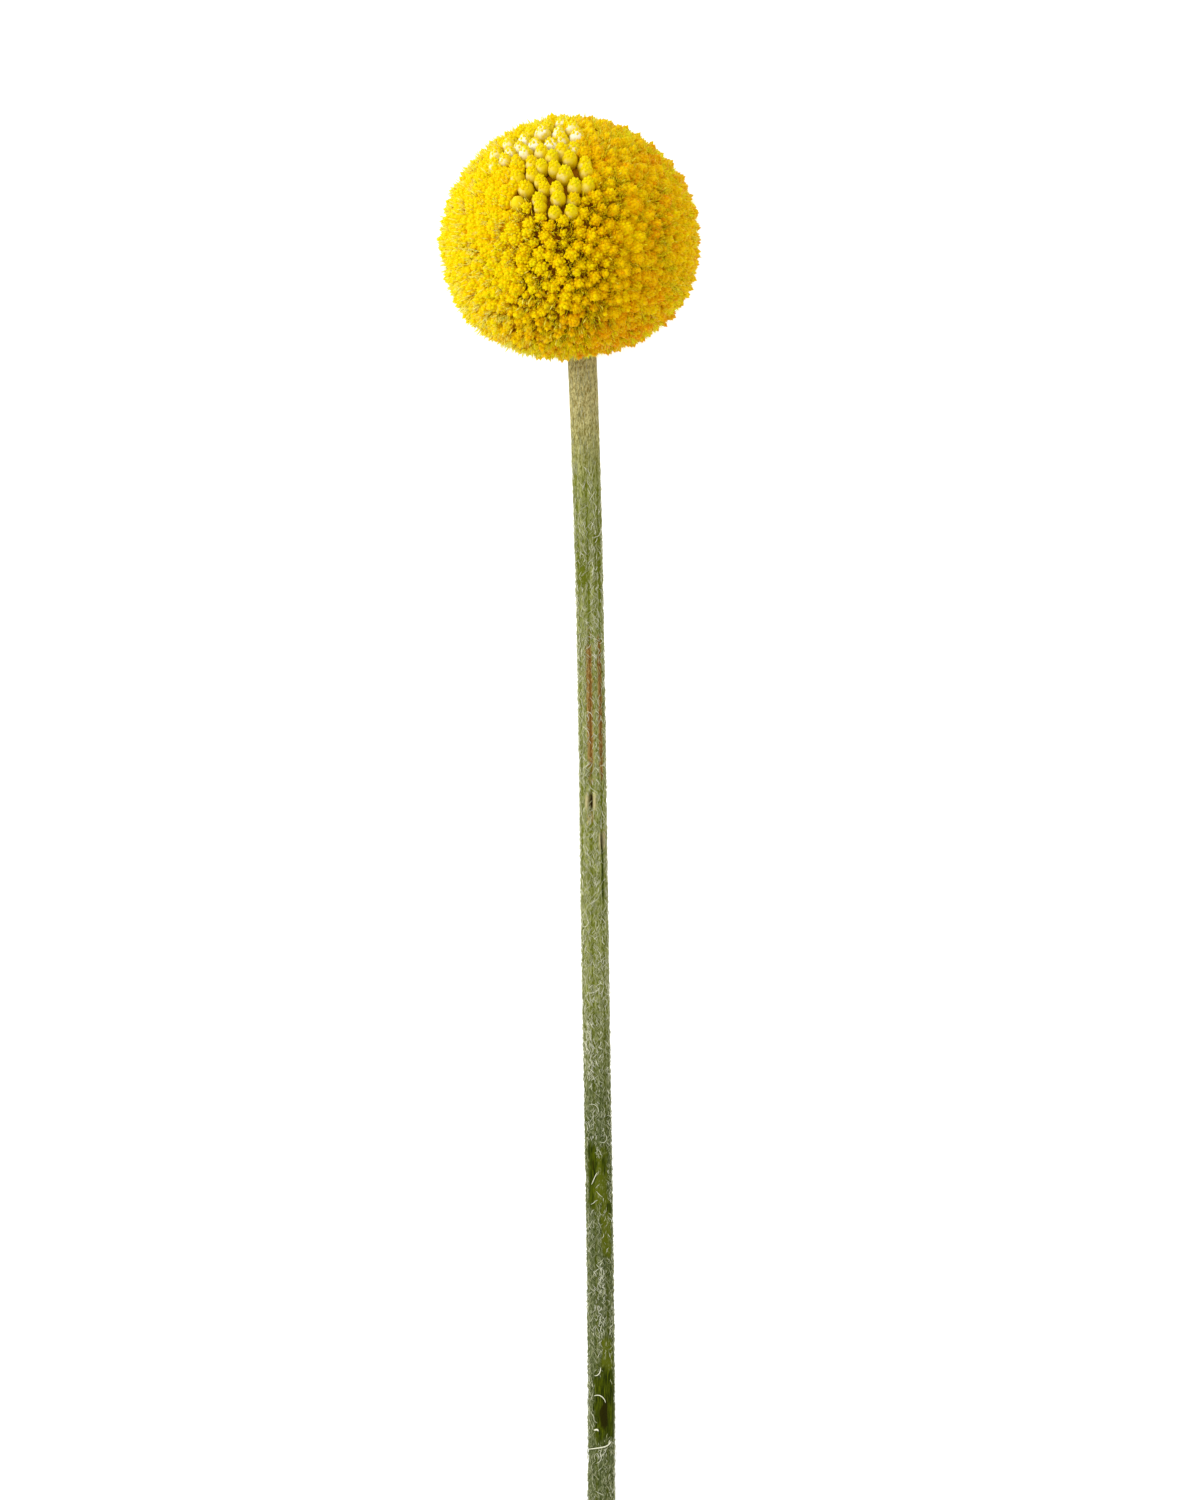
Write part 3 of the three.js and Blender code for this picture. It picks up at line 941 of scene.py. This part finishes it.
def between_knobs(count, foot_depth, chance):
    """Directions, feet and axes of things that stand in the gaps between partial heads.
    The chance that one stands in a gap comes from how far right and how loose it is."""
    directions = spiral_directions(5 * count, 0.3)
    own, share = nearest_knobs(directions)
    odds = chance(lean_to_right(directions), knob_loose[own])
    wanted = rng.uniform(0, 1, len(own)) < odds
    in_gap = np.flatnonzero((share > GAP_FROM) & ~knob_is_bud[own] & wanted)
    directions = directions[rng.permutation(in_gap)[:count]]
    return directions, head_points(directions, foot_depth), head_normals(directions)


def fan_ways(axes, right):
    """Ways in which the bristles of each fan point, as fans by bristles by 3."""
    count = len(axes)
    fan_side, fan_face = frames_along(axes, any_turn(count))
    lean = rng.normal(0, 0.3, (count, 1))
    step = np.linspace(-1, 1, FAN_BRISTLES) * between(FAN_SPREAD, right)[:, None]
    angle = (step + rng.normal(0, 0.1, (count, FAN_BRISTLES)))[..., None]
    middle = unit(axes + lean * fan_face)[:, None]
    return unit(np.cos(angle) * middle + np.sin(angle) * fan_side[:, None])


def make_bristles():
    """Stiff pale hairs that fan out between the partial heads."""
    chance = lambda right, loose: 0.3 + 0.7 * np.maximum(loose, right)
    directions, feet, axes = between_knobs(FANS, BRISTLE_FOOT, chance)
    right = lean_to_right(directions)
    ways = fan_ways(axes, right).reshape(-1, 3)
    loose = patch_share(directions, LOOSE_PATCH)
    longer = LONGER_LEFT * (1 - right) + LONGER_LOOSE * loose
    lengths = rng.uniform(*BRISTLE_LENGTH, len(ways)) + np.repeat(longer, FAN_BRISTLES)
    vertices = place_copies(BRISTLE, np.repeat(feet, FAN_BRISTLES, axis=0), ways, lengths)
    # Painted shade: tones fall towards the head's right, away from the lamp, and in the loose
    # patch, where less of each bristle is pale.
    tone = rng.normal(1.0, 0.15, len(feet)) - 0.7 * right - 0.1 * loose
    attributes = {
        "tone": np.repeat(tone, FAN_BRISTLES)[:, None],
        "up": np.repeat(1 - 0.5 * loose, FAN_BRISTLES)[:, None] * BRISTLE_UP,
    }
    material = bristle_material()
    build_copies(["bristles"], "flower_head", vertices, BRISTLE_FACES, material, **attributes)


def scale_template():
    """A thin pointed scale, standing up."""
    widths, heights = np.array(SCALE_RINGS).T[..., None]
    points = ring_points(widths, heights, 4) * (SCALE_WIDTH, SCALE_THICKNESS, 1)
    return np.vstack([points.reshape(-1, 3), (0, 0, SCALE_TIP)])


def make_scales():
    """Papery scales between the partial heads, painted paler on the head's left as a highlight."""
    template = scale_template()
    chance = lambda right, loose: 1 - 0.8 * right
    directions, feet, axes = between_knobs(SCALES, SCALE_FOOT, chance)
    count, right = len(feet), lean_to_right(directions)
    axes = unit(axes + rng.normal(0, 0.2, (count, 3)))
    sizes = rng.uniform(*SCALE_SIZE, count) + LARGER_LEFT * (1 - right)
    vertices = place_copies(template, feet, axes, sizes)
    # Painted light: scales are paler towards the head's left, as a highlight from the lamp, and
    # more olive towards its right, as shade.
    tone = rng.normal(1.0, 0.3, count) - 0.9 * right
    attributes = {"tone": tone[:, None], "up": template[:, 2] / 0.7}
    faces = ring_faces(len(SCALE_RINGS), 4)
    build_copies(["scales"], "flower_head", vertices, faces, scale_material(), **attributes)


# ---- The stem's form ----

stem_low = np.array(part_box("stem")[0]) / MM
underside_y = (head_middle - HEAD_HALF_HEIGHT * crown)[1]
stem_end = underside_y - stem_low[1] - STEM_WIDTH / 2 * math.tan(CUT_SLANT)


def middle_line():
    """Polynomials for the x and z of the middle of the frame's stem, from the distance
    below the head. Its rings are round, so a fit to all their points is their middle."""
    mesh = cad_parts["stem"].data
    points = np.empty(3 * len(mesh.vertices))
    mesh.vertices.foreach_get("co", points)
    points = points.reshape(-1, 3) / MM
    distances = underside_y - points[:, 1]
    square = distances < stem_end - CUT_BLEND
    fit = np.polynomial.Polynomial.fit
    return [fit(distances[square], points[square, axis], 6) for axis in (0, 2)]


middle_x, middle_z = middle_line()


def stem_frames(distance):
    """The stem's middle and its own directions. Seen from the cut end, side points right
    and up points up."""
    distance = np.asarray(distance, float)
    middle = np.stack([middle_x(distance), underside_y - distance, middle_z(distance)], axis=-1)
    slopes = middle_x.deriv()(distance), -np.ones_like(distance), middle_z.deriv()(distance)
    forward = unit(np.stack(slopes, axis=-1))
    side = unit(np.array([1.0, 0, 0]) - forward[..., 0:1] * forward)
    return middle, forward, side, np.cross(forward, side)


def rib_height(distance, angle):
    """0 in the stem's grooves, which are narrow, and 1 on its ribs."""
    from_groove = angle - GROOVE_ANGLE - RIB_TWIST * distance / STEM_LENGTH
    return ((1 - np.cos(RIBS * from_groove)) / 2) ** 0.5


def groove_clearness(distance):
    """The grooves are faint under the head and towards the cut end."""
    return 0.25 + 0.75 * smoothstep(distance, 5, 20) * (1 - 0.5 * smoothstep(distance, 48, 62))


def groove_share(distance, angle):
    """1 at the bottom of a clear groove, 0 on the ribs."""
    narrow = 1 - smoothstep(rib_height(distance, angle), 0.0, 0.5)
    return groove_clearness(distance) * narrow


def stem_radius(distance, angle):
    width = between((STEM_WIDTH_TOP, STEM_WIDTH), smoothstep(distance, 0, NECK_LENGTH))
    depth = GROOVE_DEPTH * groove_clearness(distance)
    return width / 2 - depth * (1 - rib_height(distance, angle))


def stem_points(distance, angle, lift=0.0):
    """Points over the stem's surface, and the stem's outward directions there."""
    middle, forward, side, up = stem_frames(distance)
    radius = stem_radius(distance, angle) + lift
    outward = side * np.cos(angle)[..., None] + up * np.sin(angle)[..., None]
    slant = np.clip(1 - (stem_end - distance) / CUT_BLEND, 0, 1) * math.tan(CUT_SLANT)
    shift = radius * np.sin(angle) * slant
    return middle + radius[..., None] * outward + shift[..., None] * forward, outward


def turn_from(angle, middle_degrees):
    """Signed angle from a middle, the short way round."""
    return (angle - math.radians(middle_degrees) + math.pi) % (2 * math.pi) - math.pi


def raggedness(distance, angle):
    """A wavering value, about -1 to 1, that makes the marks' edges uneven."""
    slow = 0.5 * np.sin(2.3 * distance + 4 * angle) + 0.3 * np.sin(6.1 * distance - 9 * angle)
    return slow + 0.3 * np.sin(15.7 * distance + 17 * angle)


def strength_of(marks, distance, angle):
    """How strongly a place on the stem belongs to one of the marks, from 0 to 1."""
    strength = np.zeros(np.broadcast(distance, angle).shape)
    uneven = 0.2 * raggedness(distance, angle)
    for middle, degrees, half_length, half_width in marks:
        along = (distance - middle) / half_length
        across = turn_from(angle, degrees) / math.radians(half_width)
        away = (along**4 + across**4) ** 0.25 + uneven
        strength = np.maximum(strength, 1 - smoothstep(away, 0.85, 1.15))
    return strength


def low_share(distance):
    """0 on the upper stem, 1 on the darker lower stem."""
    return smoothstep(distance, 62, 84)


def from_slits(distance, angle, widening=1.0):
    """How far along and across each slit a place is, as a share of half its length and of
    half its width."""
    for middle, degrees, length, width in SLITS:
        along = 2 * (distance - middle) / length
        yield along, turn_from(angle, degrees) * STEM_WIDTH / (width * widening)


def slit_share(distance, angle, widening=1.0):
    """1 in the middle of a slit, 0 outside it."""
    places = from_slits(distance, angle, widening)
    return sum(np.exp(-((along**2 + across**2) ** 2)) for along, across in places)


def lip_share(distance, angle):
    """1 on the raised lips beside a slit, 0 away from them."""
    places = from_slits(distance, angle)
    return sum(np.exp(-(along**4) - 3 * (np.abs(across) - 1.9) ** 2) for along, across in places)


def tan_share(distance, angle):
    """Tan just under the head, and at the edges of the slits."""
    edges = slit_share(distance, angle, widening=2.2)
    marks = np.maximum(edges, strength_of(TAN_MARKS, distance, angle))
    return np.maximum(1 - smoothstep(distance, 4, 15), marks)


# Matted wool: shallow lumps, and strands along the stem. Each is given by its size across
# and along the stem, where its noise starts, and its height.
FELT = [(0.8, 2.0, 0, 0.05), (0.3, 1.4, 50, 0.045)]


def felt_relief(distance, angle):
    x, y = STEM_WIDTH / 2 * np.cos(angle), STEM_WIDTH / 2 * np.sin(angle)
    relief = np.zeros(len(angle))
    for across, along, start, height in FELT:
        places = zip(x / across, y / across, distance / along + start)
        relief += height * np.array([noise.noise(Vector(place)) for place in places])
    return relief


# ---- The stem's surface ----


def make_stem_surface():
    """The skin of the stem, with its ribs, slits and matted wool."""
    distance = np.repeat(np.linspace(-STEM_IN_HEAD, stem_end, STEM_RINGS), STEM_AROUND)
    angle = np.tile(even_turns(STEM_AROUND), STEM_RINGS)
    bare = strength_of(BARE_MARKS, distance, angle)
    calm = (1 - 0.7 * bare) * smoothstep(distance, -2, 12)
    slit, lip = slit_share(distance, angle), lip_share(distance, angle)
    relief = LIP_HEIGHT * lip - SLIT_DEPTH * slit + calm * felt_relief(distance, angle)
    vertices, _ = stem_points(distance, angle, relief)
    green = np.maximum(groove_share(distance, angle), strength_of(GREEN_MARKS, distance, angle))
    attributes = {
        "rib": 0.8 - 0.8 * green,
        "low": low_share(distance) * (1 - 0.7 * green),
        "lip": 0.8 * lip,
        "tan": tan_share(distance, angle),
        "bare": bare,
        "brown": strength_of(BROWN_MARKS, distance, angle),
        "slit": slit,
    }
    faces = tube_faces(STEM_RINGS, STEM_AROUND)
    build_piece("stem_surface", "stem", vertices, faces, stem_material(), **attributes)


# Rings of the cut face: shares of the stem's radius, and heights over the cut
CUT_RINGS = [(0.97, 0.02), (0.92, 0.10), (0.86, 0.02), (0.72, -0.03), (0.5, -0.07), (0.25, -0.10)]
RIM_START = 0.4  # the rind starts this far up inside the stem
RIM_INSET = 0.05


def make_cut_end():
    """The cut face: a raised rind with sunken pith in it."""
    rim, _ = stem_points(np.full(STEM_AROUND, stem_end), even_turns(STEM_AROUND))
    middle, forward, _, _ = stem_frames(stem_end)
    rows = [rim - RIM_START * forward - RIM_INSET * unit(rim - middle)]
    for share, height in CUT_RINGS:
        ragged = height + rng.normal(0, 0.012, (STEM_AROUND, 1))
        rows.append(middle + share * (rim - middle) + ragged * forward)
    vertices = np.vstack([*rows, middle + CUT_RINGS[-1][1] * forward])
    shares = [1.0] + [share for share, _ in CUT_RINGS]
    inward = 1 - np.append(np.repeat(shares, STEM_AROUND), 0)
    faces = ring_faces(len(rows), STEM_AROUND)
    build_piece("stem_cut", "stem", vertices, faces, cut_material(), inward=inward)


# ---- Wool ----

STRAND_TAPER = np.array([0.4, 0.9, 1.0, 0.9, 0.4])
STRAND_SPAN = np.linspace(-0.5, 0.5, len(STRAND_TAPER))[None]
CURL_POINTS = 12
CURL_SPAN = np.linspace(-0.5, 0.5, CURL_POINTS)[None]


def wool_share(distance, angle):
    """How much of the wool stays at a place: little under the head, most on the ribs."""
    grown = 0.25 + 0.75 * smoothstep(distance, 6, 22) - 0.3 * low_share(distance)
    on_ribs = 1 - 0.93 * groove_share(distance, angle)
    rubbed = 1 - 0.97 * strength_of(BARE_MARKS, distance, angle)
    rubbed = rubbed * (1 - 0.6 * strength_of(GREEN_MARKS, distance, angle))
    thick = 1 + 0.8 * strength_of(WHITE_MARKS, distance, angle)
    clear = 1 - 0.75 * strength_of(BROWN_MARKS, distance, angle)
    clear = clear * (1 - slit_share(distance, angle, widening=2.5))
    return grown * on_ribs * rubbed * thick * clear / 1.8


def strand_places(count):
    """Distances and angles of strands, spread by wool_share()."""
    distance = rng.uniform(0.5, stem_end - 0.8, 8 * count)
    angle = any_turn(8 * count)
    kept = rng.uniform(0, 1, len(angle)) < wool_share(distance, angle)
    return distance[kept][:count, None], angle[kept][:count, None]


def build_hairs(names, distances, angles, lifts, radii, around, **attributes):
    """Pieces of hairs over the stem, from arrays of hairs by points."""
    paths, normals = stem_points(distances, angles, lifts)
    vertices = tubes(paths, normals, radii, around)
    faces = tube_faces(distances.shape[1], around)
    build_copies(names, "stem", vertices, faces, wool_material(), **attributes)


def make_wool():
    """Crinkled strands matted along the stem. They lie flatter under the head."""
    distance, angle = strand_places(WOOL_STRANDS)
    size = distance.shape
    grown, low = smoothstep(distance, 4, 22), low_share(distance)
    length = rng.uniform(*STRAND_LENGTH, size) * (1.8 - 0.8 * grown - 0.2 * low)
    slope = rng.normal(0, 0.08 + 0.45 * grown)
    waves = 2 * math.pi * rng.uniform(0.5, 1.5, size) * STRAND_SPAN
    crinkle = (0.02 + 0.06 * grown) * rng.uniform(0.4, 1.0, size)
    phase = any_turn(size)
    across = slope * length * STRAND_SPAN + crinkle * np.sin(waves + phase)
    arch = rng.uniform(0, 0.08, size) * (1 - (2 * STRAND_SPAN) ** 2)
    lift = 0.02 + grown * (arch + 0.02 * np.sin(waves + 2 * phase))
    radii = rng.uniform(*STRAND_RADIUS, size) * (0.5 + 0.5 * grown) * STRAND_TAPER
    tone = rng.normal(0.55, 0.3, size) - 0.12 * low
    tone += 0.4 * strength_of(WHITE_MARKS, distance, angle)
    distances = distance + length * STRAND_SPAN
    angles = angle + across / (STEM_WIDTH / 2)
    build_hairs(["wool_a", "wool_b"], distances, angles, lift, radii, 3, tone=tone, low=low)


def make_curls():
    """Loose hairs that curl off the stem."""
    distance, angle = strand_places(CURLS)
    size = distance.shape
    step = rng.uniform(*CURL_LENGTH, size) / CURL_POINTS
    heading = rng.uniform(-1.2, 1.2, size) + rng.uniform(1.5, 3.5, size) * CURL_SPAN
    distances = distance + np.cumsum(step * np.cos(heading), axis=1)
    angles = angle + np.cumsum(step * np.sin(heading), axis=1) / (STEM_WIDTH / 2)
    lift = 0.05 + rng.uniform(0.05, 0.22, size) * (1 - (2 * CURL_SPAN) ** 2)
    radii = CURL_RADIUS * (1 - 0.7 * np.abs(2 * CURL_SPAN) ** 3)
    low = low_share(distance)
    build_hairs(["curled_hairs"], distances, angles, lift, radii, 4, tone=0.95, low=low)


def make_lone_hairs():
    """The few long hairs that stand out, on smooth curves through their points."""
    along = np.linspace(0, 1, CURL_POINTS)
    thickness = np.array([thickness for thickness, _ in LONE_HAIRS])[:, None]
    radii = thickness / 2 * (1 - 0.6 * np.abs(2 * along - 1) ** 4)
    curves = []
    for _, points in LONE_HAIRS:
        fit = np.polynomial.polynomial.polyfit(np.linspace(0, 1, len(points)), points, 3)
        curves.append(np.polynomial.polynomial.polyval(along, fit))
    distances, degrees = np.stack(curves, axis=1)
    angles, lift = np.radians(degrees), LONE_HAIR_LIFT
    build_hairs(["lone_hairs"], distances, angles, lift, radii, 6, tone=1.0, low=0.0)


make_core()
make_bodies()
make_florets()
make_buds()
make_bristles()
make_scales()
make_stem_surface()
make_cut_end()
make_wool()
make_curls()
make_lone_hairs()


# ---- Stage ----

FLOOR_HALF = 1500.0
FLOOR_DROP = 0.2

KEY_PLACE = Vector((-0.55, 0.2, 0.42))  # in metres, from the head's middle
KEY_SIZE = 0.3
KEY_POWER = 2.4

IMAGE_WIDTH, IMAGE_HEIGHT = 1200, 1500
HEAD_PIXEL = (569.5, 236.0)
HEAD_PIXEL_WIDTH = 262.0
HEAD_WIDTH = 28.0
CAMERA_DISTANCE = 1000.0
SENSOR = 36.0


def floor_material():
    """A white that stays white under the part's shadow."""
    g = Graph("floor_white")
    colour = g.ramp(g.noise(30.0), (0.0, (0.66,) * 3), (1.0, (0.70,) * 3))
    return g.shade(colour, 0.9, specular=0.5, Emission_Color=WHITE, Emission_Strength=0.6)


def make_floor():
    half, height = FLOOR_HALF * MM, -FLOOR_DROP * MM
    corners = [(-half, -half), (half, -half), (half, half), (-half, half)]
    mesh = bpy.data.meshes.new("floor")
    mesh.from_pydata([(x, y, height) for x, y in corners], [], [(0, 1, 2, 3)])
    mesh.materials.append(floor_material())
    add_object("floor", mesh)


def light_scene():
    """A soft lamp from the upper left, and a white world."""
    light = bpy.data.lights.new("key", "AREA")
    light.shape = "DISK"
    light.size = KEY_SIZE
    light.energy = KEY_POWER
    lamp = add_object("key", light)
    target = Vector(head_middle * MM)
    lamp.location = target + KEY_PLACE
    lamp.rotation_euler = (target - lamp.location).to_track_quat("-Z", "Y").to_euler()
    world = bpy.data.worlds.new("studio")
    world.use_nodes = True
    background = world.node_tree.nodes["Background"]
    background.inputs["Color"].default_value = (1, 1, 1, 1)
    background.inputs["Strength"].default_value = 1.0
    bpy.context.scene.world = world
    bpy.context.scene.view_settings.view_transform = "Standard"


def make_camera():
    """Straight above the part, with the head where the photograph shows it."""
    per_pixel = HEAD_WIDTH / HEAD_PIXEL_WIDTH
    camera = bpy.data.cameras.new("camera")
    camera.sensor_width = SENSOR
    camera.lens = SENSOR * CAMERA_DISTANCE / (IMAGE_HEIGHT * per_pixel)
    camera.clip_end = 10.0
    eye = add_object("camera", camera)
    x = head_middle[0] + (IMAGE_WIDTH / 2 - HEAD_PIXEL[0]) * per_pixel
    y = head_middle[1] - (IMAGE_HEIGHT / 2 - HEAD_PIXEL[1]) * per_pixel
    eye.location = Vector((x, y, head_middle[2] + CAMERA_DISTANCE)) * MM
    bpy.context.scene.camera = eye


make_floor()
light_scene()
make_camera()
